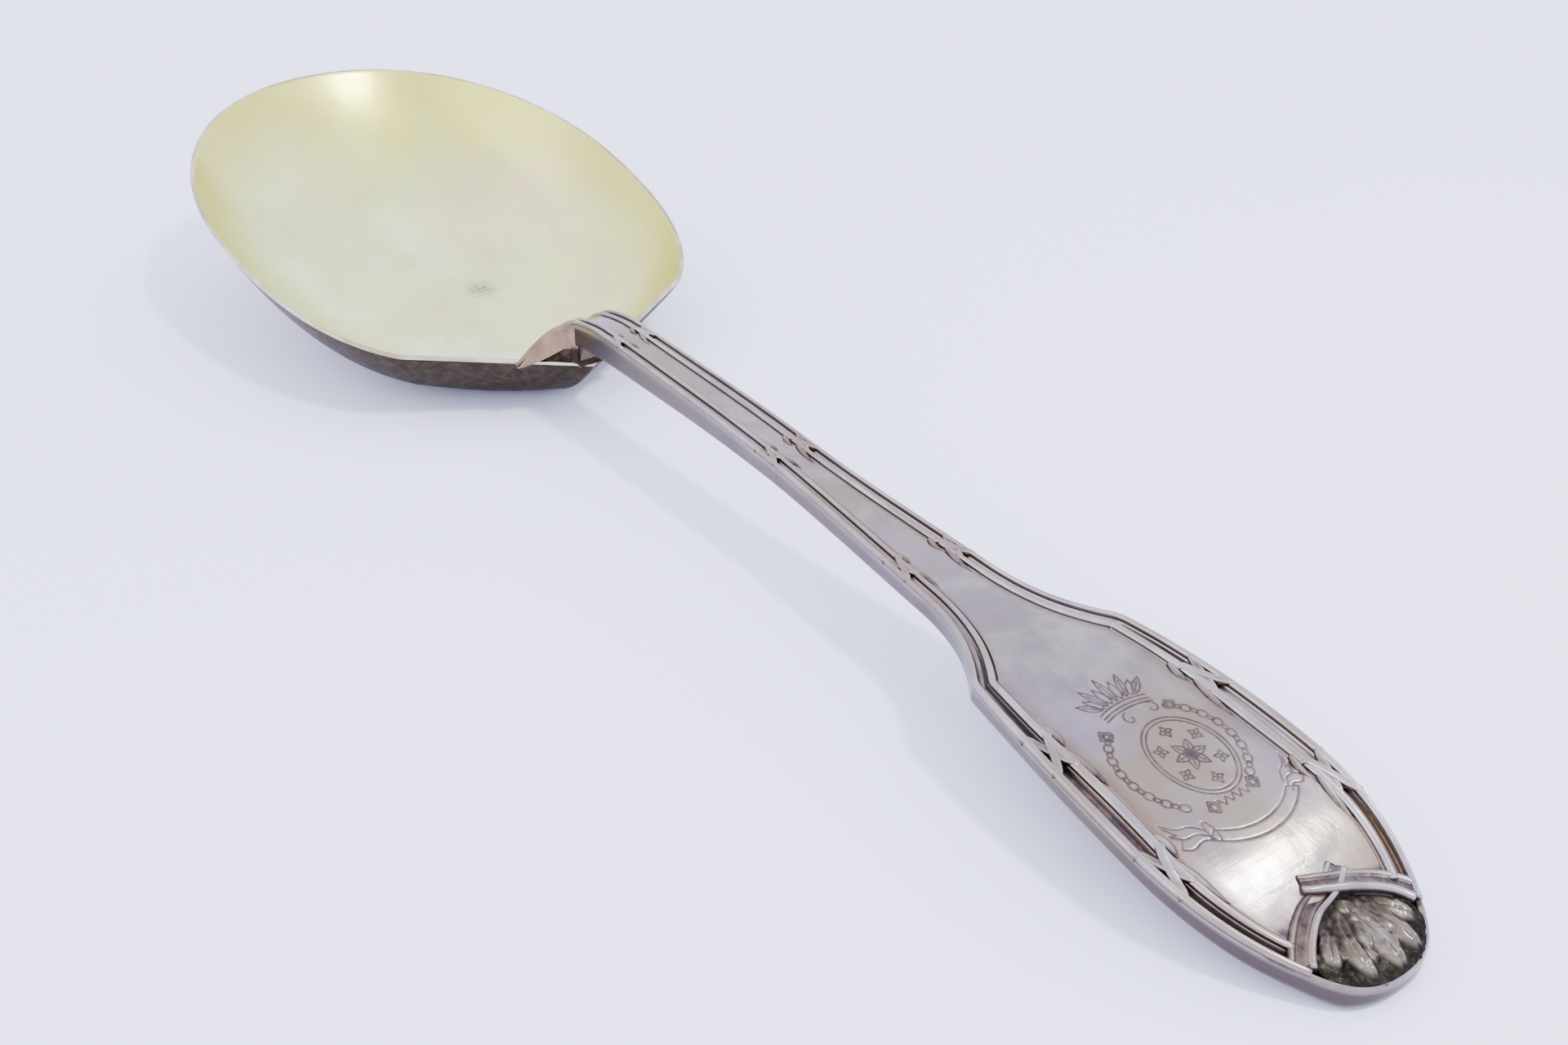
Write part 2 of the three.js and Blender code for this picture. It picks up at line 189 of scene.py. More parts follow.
def finish_mesh(name, verts, faces, smooth_angle=None, merge=0.0, **values):
    """Makes an object. Each of the values holds one number for each vertex."""
    mesh = bpy.data.meshes.new(name)
    mesh.from_pydata([tuple(v) for v in verts], [], faces)
    for key, numbers in values.items():
        add_values(mesh, key, numbers)
    bm = bmesh.new()
    bm.from_mesh(mesh)
    if merge:
        bmesh.ops.remove_doubles(bm, verts=bm.verts, dist=merge)
    bmesh.ops.recalc_face_normals(bm, faces=bm.faces)
    for f in bm.faces:
        f.smooth = True
    bm.to_mesh(mesh)
    bm.free()
    if smooth_angle:
        mesh.set_sharp_from_angle(angle=math.radians(smooth_angle))
    return add_object(name, mesh)


def grid_faces(rows, cols, wrap_cols=True):
    faces = []
    span = cols if wrap_cols else cols - 1
    for r in range(rows - 1):
        a = r * cols
        for c in range(span):
            d = (c + 1) % cols
            faces.append((a + c, a + d, a + cols + d, a + cols + c))
    return faces


def loft(name, rings, smooth_angle=None):
    """Skins rings of (back, y, z) points, all of the same length, and caps the ends."""
    rings = np.asarray(rings, float)
    rows, cols = rings.shape[:2]
    verts = list(world(rings.reshape(-1, 3)))
    faces = grid_faces(rows, cols)
    for end in (0, rows - 1):
        verts.append(world([rings[end].mean(0)])[0])
        m = len(verts) - 1
        faces += [(m, end * cols + c, end * cols + (c + 1) % cols) for c in range(cols)]
    return finish_mesh(name, verts, faces, smooth_angle)


def set_attribute(obj, name, function):
    """A number at each vertex, from its place (back, y, z) in millimetres."""
    mesh = obj.data
    co = np.zeros(len(mesh.vertices) * 3)
    mesh.vertices.foreach_get("co", co)
    co = co.reshape(-1, 3) / MM
    co[:, 0] = TIP_X - co[:, 0]
    add_values(mesh, name, function(co))


# ---- node materials


class Nodes:
    """A short way to write a node tree."""

    def __init__(self, name):
        self.material = bpy.data.materials.new(name)
        self.material.use_nodes = True
        self.tree = self.material.node_tree
        self.tree.nodes.clear()
        self.out = self.add("ShaderNodeOutputMaterial")
        self.shader = self.add("ShaderNodeBsdfPrincipled")
        self.link(self.shader.outputs[0], self.out.inputs[0])
        self.place = self.add("ShaderNodeTexCoord").outputs["Object"]

    def add(self, kind, **settings):
        node = self.tree.nodes.new(kind)
        for key, value in settings.items():
            setattr(node, key, value)
        return node

    def link(self, a, b):
        self.tree.links.new(a, b)

    def feed(self, value, socket):
        if isinstance(value, bpy.types.NodeSocket):
            self.link(value, socket)
        else:
            socket.default_value = value

    def noise(self, scale, detail=4.0, rough=0.55, stretch=None, distortion=0.0, shift=None):
        place = self.place
        if stretch or shift:
            mapping = self.add("ShaderNodeMapping")
            self.link(place, mapping.inputs["Vector"])
            if stretch:
                mapping.inputs["Scale"].default_value = stretch
            if shift:
                mapping.inputs["Location"].default_value = shift
            place = mapping.outputs[0]
        node = self.add("ShaderNodeTexNoise")
        self.link(place, node.inputs["Vector"])
        node.inputs["Scale"].default_value = scale
        node.inputs["Detail"].default_value = detail
        node.inputs["Roughness"].default_value = rough
        node.inputs["Distortion"].default_value = distortion
        return node.outputs["Fac"]

    def span(self, value, low, high, to_low=0.0, to_high=1.0):
        node = self.add("ShaderNodeMapRange", interpolation_type="SMOOTHSTEP")
        self.feed(value, node.inputs["Value"])
        for socket, number in zip(("From Min", "From Max", "To Min", "To Max"),
                                  (low, high, to_low, to_high)):
            self.feed(number, node.inputs[socket])
        return node.outputs[0]

    def math(self, how, a, b, clamp=False):
        node = self.add("ShaderNodeMath", operation=how, use_clamp=clamp)
        self.feed(a, node.inputs[0])
        self.feed(b, node.inputs[1])
        return node.outputs[0]

    def times(self, a, b, clamp=False):
        return self.math("MULTIPLY", a, b, clamp)

    def plus(self, a, b):
        return self.math("ADD", a, b)

    def mix(self, factor, a, b):
        node = self.add("ShaderNodeMix", data_type="RGBA")
        self.feed(factor, node.inputs[0])
        self.feed(a, node.inputs[6])
        self.feed(b, node.inputs[7])
        return node.outputs[2]

    def attribute(self, name):
        return self.add("ShaderNodeAttribute", attribute_name=name).outputs["Fac"]

    def bump(self, height, strength, distance, normal=None):
        node = self.add("ShaderNodeBump")
        node.inputs["Strength"].default_value = strength
        node.inputs["Distance"].default_value = distance
        self.link(height, node.inputs["Height"])
        if normal is not None:
            self.link(normal, node.inputs["Normal"])
        return node.outputs[0]

    def axis(self, name):
        split = self.add("ShaderNodeSeparateXYZ")
        self.link(self.place, split.inputs[0])
        return split.outputs[name]

    def near(self, centre, radius, feather):
        """1 close to a point (metres), fading to 0 past the radius."""
        node = self.add("ShaderNodeVectorMath", operation="DISTANCE")
        self.link(self.place, node.inputs[0])
        node.inputs[1].default_value = centre
        return self.span(node.outputs["Value"], radius - feather, radius + feather, 1.0, 0.0)


def srgb(r, g, b):
    """A colour from 0-255 display values."""
    f = lambda v: v / 255 / 12.92 if v <= 10 else ((v / 255 + 0.055) / 1.055) ** 2.4
    return (f(r), f(g), f(b), 1.0)


def silver(name, bright, deep, tarnish, rough, dirt_colour, blotch,
           dirt=1.0, scratch=0.16, toning=(112, 96, 86),
           wall=(70, 60, 57), mauve=(130, 118, 134)):
    """Old hand-polished silver: soft cloudy toning, fine scratches, dark residue in recesses,
    painted shade where a piece lies in shadow, and a dim painted reflection on the handle's side
    walls.
    """
    n = Nodes(name)
    cloud = n.noise(blotch, 5, 0.6, distortion=0.4)
    patch = n.noise(blotch * 0.35, 3, 0.5, shift=(0.3, 0.1, 0.2))
    grain = n.noise(2600, 3, 0.6)
    lines = n.noise(900, 4, 0.7, stretch=(0.12, 2.4, 2.4))
    cross = n.noise(800, 3, 0.7, stretch=(2.2, 0.15, 1.5), shift=(0.7, 0.2, 0.4))
    colour = n.mix(n.span(cloud, 0.35, 0.66), srgb(*bright), srgb(*deep))
    colour = n.mix(n.times(n.span(patch, 0.45, 0.66), 0.75), colour, srgb(*tarnish))
    bloom = n.noise(blotch * 0.6, 4, 0.55, shift=(0.6, 0.4, 0.9))
    colour = n.mix(n.times(n.span(bloom, 0.5, 0.68), 0.6), colour, srgb(*mauve))
    # Residue and painted shade: the pieces' dirt values hold both tarnish in recesses and painted
    # shade under the neck's wing, under the stem and on the bowl's back.
    soil_and_shade = n.attribute("dirt")
    broken = n.span(n.noise(700, 4, 0.7), 0.3, 0.75, 0.72, 1.0)
    soil_and_shade = n.times(n.times(soil_and_shade, broken), dirt, True)
    tone = n.times(n.span(soil_and_shade, 0.0, 0.5), n.span(patch, 0.3, 0.6, 0.45, 0.85))
    colour = n.mix(tone, colour, srgb(*toning))
    colour = n.mix(n.span(soil_and_shade, 0.35, 0.95), colour, srgb(*dirt_colour))
    # Painted reflection: side walls and the underside, marked by the wall values, are mixed towards
    # a dim warm grey that stands in for the dim room they reflect.
    colour = n.mix(n.attribute("wall"), colour, srgb(*wall))
    n.link(colour, n.shader.inputs["Base Color"])
    n.shader.inputs["Metallic"].default_value = 1.0
    rough_value = n.span(n.plus(cloud, n.times(lines, 0.35)), 0.4, 0.95, *rough)
    n.link(n.plus(rough_value, n.times(soil_and_shade, 0.3)),
           n.shader.inputs["Roughness"])
    height = n.plus(n.times(lines, 0.6), n.times(cross, 0.5))
    height = n.plus(height, n.times(grain, 0.35))
    first = n.bump(height, scratch, 0.00006)
    second = n.bump(n.noise(130, 2, 0.5), 0.12, 0.0006, first)
    n.link(second, n.shader.inputs["Normal"])
    return n.material


def gilding():
    """Worn pale gilding: champagne with greenish and pink cloudy toning, matt from use."""
    n = Nodes("gilding")
    x, y = n.axis("X"), n.axis("Y")
    cloud = n.noise(34, 6, 0.62, distortion=0.6)
    wide = n.noise(16, 3, 0.5, shift=(0.2, 0.5, 0.1))
    mottle = n.noise(150, 5, 0.65)
    speck = n.noise(1100, 3, 0.6)
    base = n.mix(n.span(cloud, 0.36, 0.68), srgb(214, 226, 184), srgb(206, 217, 152))
    far = n.span(n.math("SUBTRACT", y, n.times(x, 0.25)), 0.012, 0.055)
    front = n.span(x, -0.082, -0.122)
    warm = n.plus(n.times(far, 0.75), n.times(front, 0.75))
    warm = n.times(warm, n.span(wide, 0.3, 0.62, 0.35, 1.0), True)
    colour = n.mix(warm, base, srgb(198, 200, 92))
    olive = n.times(n.span(n.noise(38, 4, 0.6, shift=(0.9, 0.1, 0.3)), 0.46, 0.68), 0.7)
    colour = n.mix(olive, colour, srgb(184, 190, 126))
    pink = n.times(n.span(n.noise(48, 5, 0.65, shift=(0.1, 0.8, 0.6)), 0.46, 0.66), 0.6)
    pink = n.times(pink, n.span(y, -0.012, 0.02, 0.3, 1.0))
    colour = n.mix(pink, colour, srgb(204, 180, 142))
    fleck = n.times(n.span(mottle, 0.56, 0.75), 0.22)
    colour = n.mix(fleck, colour, srgb(172, 164, 128))
    edge = n.times(n.attribute("edge"), 0.9)
    colour = n.mix(edge, colour, srgb(188, 186, 92))
    smudge = n.near(SMUDGE, 0.0022, 0.0016)
    smudge = n.times(smudge, n.span(n.noise(900, 4, 0.7), 0.4, 0.6, 0.3, 0.95))
    colour = n.mix(smudge, colour, srgb(96, 98, 78))
    n.link(colour, n.shader.inputs["Base Color"])
    n.shader.inputs["Metallic"].default_value = 0.72
    rough = n.span(n.plus(cloud, n.times(mottle, 0.4)), 0.45, 1.0, 0.2, 0.34)
    n.link(rough, n.shader.inputs["Roughness"])
    fine_lines = n.noise(700, 3, 0.6, stretch=(0.2, 1.8, 1.5))
    height = n.plus(n.times(speck, 0.5), n.times(fine_lines, 0.5))
    first = n.bump(height, 0.12, 0.00006)
    n.link(n.bump(n.noise(70, 3, 0.5), 0.1, 0.001, first), n.shader.inputs["Normal"])
    return n.material


# ---- the bowl

BOWL_MIDDLE = NECK + 49
BOWL_WIDEST = NECK + 52
BOWL_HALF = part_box("bowl")[1].y / MM
BOWL_DEPTH = 15
BOWL_WALL = 1.4
BOWL_FLATNESS = 4.2
RIM_SLOPE = 0.216
RIM_WIDTH = 0.6
RIM_LIP = 0.35
RIM_CROWN = 0.12
CORNER = (NECK + 13.8, 25.5)
RIM_AT_CORNER = 12.6
NECK_RIM = RIM_AT_CORNER - RIM_SLOPE * (CORNER[0] - NECK)
SMUDGE = tuple(world([(195, 5.1, 4.6)])[0])  # a small grey smudge inside
GILT_FACES, BACK_FACES, RIM_FACES = 0, 1, 2  # the order of the bowl's materials

rim_height = lambda back: NECK_RIM + RIM_SLOPE * (back - NECK)

# Half of the rim from above, from the neck round the corner of the shoulder to the far end.
half_rim = chain(
    bezier((NECK, 0), (NECK + 4.6, 8.5), (NECK + 9.2, 17), CORNER),
    bezier(CORNER, (CORNER[0] + 7, 33), (BOWL_WIDEST - 19, BOWL_HALF), (BOWL_WIDEST, BOWL_HALF)),
    bezier((BOWL_WIDEST, BOWL_HALF), (BOWL_WIDEST + 26.5, BOWL_HALF), (LENGTH, 21.5), (LENGTH, 0)))
RIM_POINTS = 220
half_rim = resample(half_rim, np.linspace(0, lengths(half_rim)[-1], RIM_POINTS))
RIM = np.vstack([half_rim, half_rim[-2:0:-1] * (1, -1)])
rim_angle = np.arctan2(half_rim[:, 1], half_rim[:, 0] - BOWL_MIDDLE)[::-1]
rim_reach = np.hypot(half_rim[:, 1], half_rim[:, 0] - BOWL_MIDDLE)[::-1]


def ring_radius(angle, size):
    """How far a level ring lies from the bowl's middle. Inner rings lose the corners."""
    a, b = (LENGTH - NECK) / 2, BOWL_HALF
    ellipse = a * b / np.hypot(b * np.cos(angle), a * np.sin(angle))
    reach = np.interp(np.abs(angle), rim_angle, rim_reach)
    keep = smoothstep(size, 0.45, 1)
    return (ellipse * (1 - keep) + reach * keep) * size


def inside_height(back, y):
    """The height of the bowl's inside under a point."""
    angle = np.arctan2(y, np.asarray(back) - BOWL_MIDDLE)
    reach = np.hypot(y, np.asarray(back) - BOWL_MIDDLE)
    low, high = np.zeros_like(reach), np.full_like(reach, 1.3)
    for _ in range(30):
        middle = (low + high) / 2
        inside = ring_radius(angle, middle) < reach
        low, high = np.where(inside, middle, low), np.where(inside, high, middle)
    size = np.minimum(low, 1)
    return rim_height(np.asarray(back)) - BOWL_DEPTH * (1 - size ** BOWL_FLATNESS)


def bowl_ring(size, inset, drop):
    """A ring of the bowl, drawn in by an inset and lowered by a drop."""
    angle = np.arctan2(RIM[:, 1], RIM[:, 0] - BOWL_MIDDLE)
    reach = ring_radius(angle, size) - inset
    back = BOWL_MIDDLE + reach * np.cos(angle)
    y = reach * np.sin(angle)
    z = rim_height(back) - BOWL_DEPTH * (1 - size ** BOWL_FLATNESS) - drop
    return np.column_stack([back, y, np.maximum(0, z)])


def make_bowl():
    sizes = np.concatenate([np.linspace(0.02, 0.7, 26), np.linspace(0.72, 1, 40)])
    inside = [bowl_ring(s, RIM_WIDTH * s ** 2, 0) for s in sizes]
    lip = [bowl_ring(1, RIM_WIDTH * k, -RIM_CROWN * (1 - (2 * k - 1) ** 2)) for k in
           (0.85, 0.6, 0.35, 0.12)]
    lip += [bowl_ring(1, 0, 0.08)]
    wall = lambda s: BOWL_WALL + (RIM_LIP - BOWL_WALL) * s ** 8
    outside = [bowl_ring(s, 0, wall(s)) for s in sizes[::-1]]
    for ring in lip:
        ring[:, 2] = np.minimum(ring[:, 2], cad_box[1].z / MM)
    obj = loft("bowl_shell", [*inside, *lip, *outside])
    mesh = obj.data
    cols = len(RIM)
    gilt_faces = (len(inside) - 1) * cols
    slots = np.full(len(mesh.polygons), BACK_FACES, np.int32)
    slots[:gilt_faces] = GILT_FACES
    slots[gilt_faces:gilt_faces + (len(lip) + 1) * cols] = RIM_FACES
    first_cap = (len(inside) + len(lip) + len(outside) - 1) * cols
    slots[first_cap:first_cap + cols] = GILT_FACES
    mesh.polygons.foreach_set("material_index", slots)

    def near_rim(p):
        depth = rim_height(p[:, 0]) - p[:, 2]
        return smoothstep(depth, BOWL_DEPTH * 0.75, BOWL_DEPTH * 0.1)

    set_attribute(obj, "edge", near_rim)
    # Painted shade: the bowl's back and rim grow darker towards the neck, where the underside hangs
    # over its shadow.
    set_attribute(obj, "dirt", lambda p: 0.2 + 0.75 * smoothstep(p[:, 0], NECK + 60, NECK + 20))
    return obj


# ---- the engraving

LINE_HALF = 0.105
LINE_DEPTH = 0.02
ZONE = (17.6, 44.2)  # how far back the engraving starts and stops


def arc(centre, radii, start, stop, steps=40):
    """Part of an ellipse as (back, y) points; 0 degrees is towards +Y and 90 towards the bowl."""
    a = np.radians(np.linspace(start, stop, steps))
    return np.column_stack([centre[0] + radii[0] * np.sin(a), centre[1] + radii[1] * np.cos(a)])


def leaf_outline(root, tip, width, vein=True):
    """A pointed leaf from its root to its tip, with a vein."""
    root, tip = np.array(root, float), np.array(tip, float)
    along = tip - root
    side = np.array([-along[1], along[0]]) / np.linalg.norm(along)
    t = np.linspace(0, 1, 12)[:, None]
    bulge = np.sin(np.pi * t ** 0.8) * width / 2
    lines = [root + along * t + side * bulge, root + along * t - side * bulge]
    if vein:
        lines.append(np.array([root + along * 0.15, root + along * 0.7]))
    return lines


def engraved_lines():
    """A generic design: a spray of leaves, a rosette in an oval, garlands and a blank ribbon."""
    lines = []
    # the spray, bound by a narrow band
    for k in range(9):
        a = math.radians(-62 + 124 * k / 8)
        long = 4.2 if k % 2 == 0 else 3.1
        root = (39.4 + 0.4 * math.cos(a), 0.3 + 2.9 * math.sin(a))
        tip = (root[0] + long * math.cos(a) * 0.95, root[1] + long * math.sin(a) * 0.62)
        lines += leaf_outline(root, tip, 0.95, k % 2 == 0)
    for back in (38.4, 38.9, 39.5):
        lines.append(arc((back - 3.2, 0.3), (3.2, 6.2), 56, 124))
    # scrolls under the spray
    for side in (-1, 1):
        turn = np.linspace(0, 1.6 * math.pi, 30)
        reach = 0.95 * (1 - turn / 6.5)
        lines.append(np.column_stack([37.0 + reach * np.cos(turn),
                                      1.2 + side * (1.7 + reach * np.sin(turn))]))
    # the oval frame and its rosette
    centre = (29.8, 1.3)
    for radii in ((5.7, 4.9), (5.2, 4.4)):
        lines.append(arc(centre, radii, 0, 360, 80))
    for k in range(6):
        a = 2 * math.pi * k / 6
        tip = (centre[0] + 2.2 * math.sin(a), centre[1] + 2.2 * math.cos(a))
        lines += leaf_outline(centre, tip, 1.1)
    lines.append(arc(centre, (0.45, 0.45), 0, 360, 16))
    for k in range(6):
        a = 2 * math.pi * (k + 0.5) / 6
        spot = (centre[0] + 3.75 * math.sin(a), centre[1] + 3.15 * math.cos(a))
        for m in range(4):
            b = a + math.pi / 2 * m
            lines += leaf_outline(spot, (spot[0] + 0.85 * math.sin(b),
                                         spot[1] + 0.85 * math.cos(b)), 0.5, False)
    # a garland of small links down each side, with a square flower at each end
    for side in (-1, 1):
        path = arc((30.4, 0), (7.4, 7.7), 56, -52, 200) * (1, side)
        run = lengths(path)
        count = 15
        for k in range(count):
            spot = resample(path, [run[-1] * (k + 0.5) / count])[0]
            ahead = resample(path, [run[-1] * (k + 1) / count])[0] - spot
            ahead /= np.linalg.norm(ahead)
            across = np.array([-ahead[1], ahead[0]])
            size = (0.66, 0.5) if k % 2 == 0 else (0.5, 0.28)
            a = np.linspace(0, 2 * math.pi, 15)[:, None]
            lines.append(spot + ahead * np.cos(a) * size[0] + across * np.sin(a) * size[1])
    for back, y, size in ((36.4, -5.0, 0.95), (36.4, 5.0, 0.8), (23.4, -2.2, 0.9),
                          (23.7, 4.2, 0.9)):
        for grow in (1.0, 0.55):
            a = np.radians(np.linspace(0, 360, 5) + 10)
            lines.append(np.column_stack([back + grow * size * np.sin(a),
                                          y + grow * size * np.cos(a)]))
    zig = np.linspace(-1.2, 3.3, 9)
    lines.append(np.column_stack([23.4 + 0.45 * (-1) ** np.arange(9), zig]))
    # the ribbon, left blank, with swallow tails
    lower = arc((25.0, 1.2), (6.8, 9.0), -140, -38, 60)
    upper = arc((26.2, 1.2), (6.6, 8.4), -133, -46, 60)
    lines += [lower, upper, np.array([lower[0], upper[0]]), np.array([lower[-1], upper[-1]])]
    lines.append(arc((21.3, -4.9), (1.35, 0.5), 0, 360, 20))
    for side, root, reach in ((-1, (21.2, -5.4), 4.0), (1, (21.6, 7.3), 2.6)):
        for k, (rise, start) in enumerate(((0.6, 0.9), (1.9, 0.3), (3.0, -0.5))):
            t = np.linspace(0, 1, 16)
            wave = 0.32 * np.sin(t * 2 * math.pi)
            lines.append(np.column_stack([root[0] - start + (rise + start * 0.3) * t + wave,
                                          root[1] + side * reach * t]))
        end = root[1] + side * reach
        lines.append(np.array([(root[0], end), (root[0] + 1.0, end - side * 0.9),
                               (root[0] + 1.9, end), (root[0] + 1.6, end - side * 0.8),
                               (root[0] + 2.9, end)]))
    return lines


def engraving_mask(back, y):
    """1 on an engraved line, 0 off it, for a grid whose rows have one back each."""
    mask = np.zeros_like(y)
    rows_back = back[:, 0]
    reach = LINE_HALF * 2.2
    for line in engraved_lines():
        for a, b in zip(line[:-1], line[1:]):
            low, high = min(a[0], b[0]) - reach, max(a[0], b[0]) + reach
            rows = np.where((rows_back > low) & (rows_back < high))[0]
            if not len(rows):
                continue
            block = slice(rows[0], rows[-1] + 1)
            py, px = y[block], back[block]
            d = b - a
            along = np.clip(((px - a[0]) * d[0] + (py - a[1]) * d[1]) / max(d @ d, 1e-9), 0, 1)
            away = np.hypot(px - a[0] - along * d[0], py - a[1] - along * d[1])
            mask[block] = np.maximum(mask[block], 1 - smoothstep(away, LINE_HALF * 0.6, reach))
    return mask


# ---- the handle's bar

BAND_COLUMNS = 26
PANEL_COLUMNS = 200
SIDE_COLUMNS = 14
UNDER_COLUMNS = 16
PLAIN_STEP, DRAWN_STEP = 0.42, 0.1
GROOVE = 0.43  # where the groove lies, as a share of the band
GROOVE_HALF = 0.16
GROOVE_ON_STEM, GROOVE_ON_BLADE = 0.26, 0.85
STEM_MEETS_BLADE = (62, 40)
PANEL_DISH = 0.03
UNDER_CROWN = 0.25
WALL_STRAIGHT = 0.45  # the part of the side wall's columns that stays upright


def channel(share, back):
    """The bar's surface under the reeds, relative to its top: a groove between them."""
    groove = np.exp(-((share - GROOVE) / GROOVE_HALF) ** 4)
    thin = np.exp(-((share - 0.965) / 0.035) ** 2)
    on_blade = smoothstep(back, *STEM_MEETS_BLADE)
    deep = GROOVE_ON_STEM + (GROOVE_ON_BLADE - GROOVE_ON_STEM) * on_blade
    return -0.12 * smoothstep(share, 1.0, 0.9) - deep * groove - 0.2 * thin


def bar_rows():
    """Points and inward directions along the outline, closer together under the engraving."""
    run = np.linspace(0, 1, len(fine)) * ALONG[-1]
    panel_at = inset_curve(1.0)[:, 0]
    drawn = (panel_at > ZONE[0]) & (panel_at < ZONE[1]) & (fine[:, 0] > 10)
    step = np.where(drawn, DRAWN_STEP, PLAIN_STEP)
    places, at = [0.0], 0.0
    while at < ALONG[-1] - 0.2:
        at += np.interp(at, run, step)
        places.append(min(at, ALONG[-1]))
    index = np.interp(places, run, np.arange(len(fine)))
    pick = lambda field: np.column_stack([np.interp(index, np.arange(len(fine)), field[:, k])
                                          for k in range(2)])
    return pick(fine), pick(normal)


def draw_in(edge, inward, inset):
    """The outline's rows drawn in by a grid of distances, kept on their own side of the middle."""
    grid = edge[:, None, :] + inward[:, None, :] * inset[:, :, None]
    grid[:, :, 1] = np.maximum(grid[:, :, 1], 0)
    grid[0, :, 1] = 0
    return grid


def side_wall(back, wall_top, turn):
    """The side wall, upright and then rounded under: how far it is drawn in, and its heights."""
    round_off = (0.45 + 0.6 * smoothstep(back, *STEM_MEETS_BLADE) + 0.6 * smoothstep(back, 12, 0))
    floor = under(back)
    tall = wall_top - floor
    round_off = np.minimum(round_off, tall * 0.7)
    inset, z = np.zeros((2, len(back), len(turn)))
    for k, u in enumerate(turn):
        if u <= WALL_STRAIGHT:
            z[:, k] = wall_top - (tall - round_off) * u / WALL_STRAIGHT
        else:
            a = (u - WALL_STRAIGHT) / (1 - WALL_STRAIGHT) * math.pi / 2
            z[:, k] = floor + round_off * (1 - math.sin(a))
            inset[:, k] = round_off * (1 - math.cos(a))
    return inset, z


def make_bar():
    """The bar from the tip to the neck, row by row: side, band, panel, band, side, underside."""
    edge, inward = bar_rows()
    rows = len(edge)
    shares = np.linspace(0, 1, BAND_COLUMNS)
    half = draw_in(edge, inward, band(edge[:, 0])[:, None] * shares)
    half[:, -1, 0] = np.maximum.accumulate(half[:, -1, 0])
    half_z = top(half[:, :, 0]) + channel(shares[None, :], half[:, :, 0])
    half_z[:, 0] -= 0.16
    lip = smoothstep(edge[:, 0], 7, 5)[:, None] * np.exp(-((shares[None, :] - 0.08) / 0.07) ** 2)
    half_z += 0.3 * lip
    rim_back, rim_half = half[:, -1, 0], half[:, -1, 1]
    t = np.linspace(1, -1, PANEL_COLUMNS)[1:-1]
    panel_y = rim_half[:, None] * t[None, :]
    panel_back = np.repeat(rim_back[:, None], len(t), 1)
    mask = engraving_mask(panel_back, panel_y)
    dish = (PANEL_DISH * smoothstep(rim_half, 0.5, 8))[:, None] * (1 - t[None, :] ** 2)
    panel_z = top(panel_back) - dish - LINE_DEPTH * mask
    turn = np.linspace(0, 1, SIDE_COLUMNS)[1:]
    side_inset, side_z = side_wall(edge[:, 0], half_z[:, 0] - 0.12, turn)
    side = draw_in(edge, inward, side_inset)
    w = np.linspace(1, -1, UNDER_COLUMNS + 2)[1:-1]
    low_back, low_half = side[:, -1, 0], side[:, -1, 1]
    under_y = low_half[:, None] * w[None, :]
    under_back = np.repeat(low_back[:, None], len(w), 1)
    crown = UNDER_CROWN * (1 - w[None, :] ** 2) * smoothstep(low_half, 1, 5)[:, None]
    under_z = np.maximum(0, np.repeat(under(edge[:, 0])[:, None], len(w), 1) - crown)
    stack = lambda b, y, z: np.stack([b, y, z], 2)
    left_band = stack(half[:, :, 0], half[:, :, 1], half_z)
    right_band = stack(half[:, ::-1, 0], -half[:, ::-1, 1], half_z[:, ::-1])
    left_side = stack(side[:, ::-1, 0], side[:, ::-1, 1], side_z[:, ::-1])
    right_side = stack(side[:, :, 0], -side[:, :, 1], side_z)
    rings = np.concatenate([left_side, left_band, stack(panel_back, panel_y, panel_z),
                            right_band, right_side, stack(under_back, -under_y, under_z)], 1)
    # dark residue: in the grooves, round the panel's edge and by the straps, and in the engraving
    band_soil_and_shade = (np.exp(-((shares - GROOVE) / 0.2) ** 4)
                 + 0.75 * np.exp(-((shares - 0.97) / 0.05) ** 2))
    band_soil_and_shade = band_soil_and_shade * (0.5 + 0.5 * smoothstep(half[:, :, 0], *STEM_MEETS_BLADE))
    band_soil_and_shade = np.maximum(band_soil_and_shade, 0.85 * smoothstep(half[:, :, 0], 9.5, 8))
    band_soil_and_shade *= 1 - 0.8 * lip
    close = 0.55 * smoothstep(np.abs(t), 0.76, 1.0)[None, :] * np.ones((rows, 1))
    by_straps = 0.45 * smoothstep(panel_back, 14, 10.5) + 0.7 * smoothstep(panel_back, 10.5, 9)
    soil_panel = np.maximum(0.95 * mask, np.maximum(close, by_straps))
    blank = lambda n: np.zeros((rows, n))
    wall = 0.16 + 0.2 * turn[None, :] + blank(len(turn))
    # Painted shade: the far band gets only 0.35 of the groove darkness and the near band all of it,
    # so the near grooves look darker.
    dirt = np.concatenate([wall[:, ::-1], 0.35 * band_soil_and_shade, soil_panel, band_soil_and_shade[:, ::-1],
                           wall, blank(len(w)) + 0.3], 1)
    # Painted reflection: how far the side walls, more so near the tip, and the underside take the
    # dim wall colour.
    flank_shade = 0.68 + 0.27 * smoothstep(edge[:, 0], 34, 8)[:, None] + blank(len(turn))
    flank_shade *= smoothstep(turn, 0.0, 0.12)[None, :]
    top_side = blank(2 * BAND_COLUMNS + len(t))
    wall_shade = np.concatenate([flank_shade[:, ::-1], top_side, flank_shade, blank(len(w)) + 0.4], 1)
    cols = rings.shape[1]
    faces = grid_faces(rows, cols)
    faces.append(tuple((rows - 1) * cols + c for c in range(cols)))
    return finish_mesh("handle_bar", world(rings.reshape(-1, 3)), faces, smooth_angle=50,
                       merge=2e-6, dirt=dirt, wall=wall_shade)


# ---- strips laid on the handle


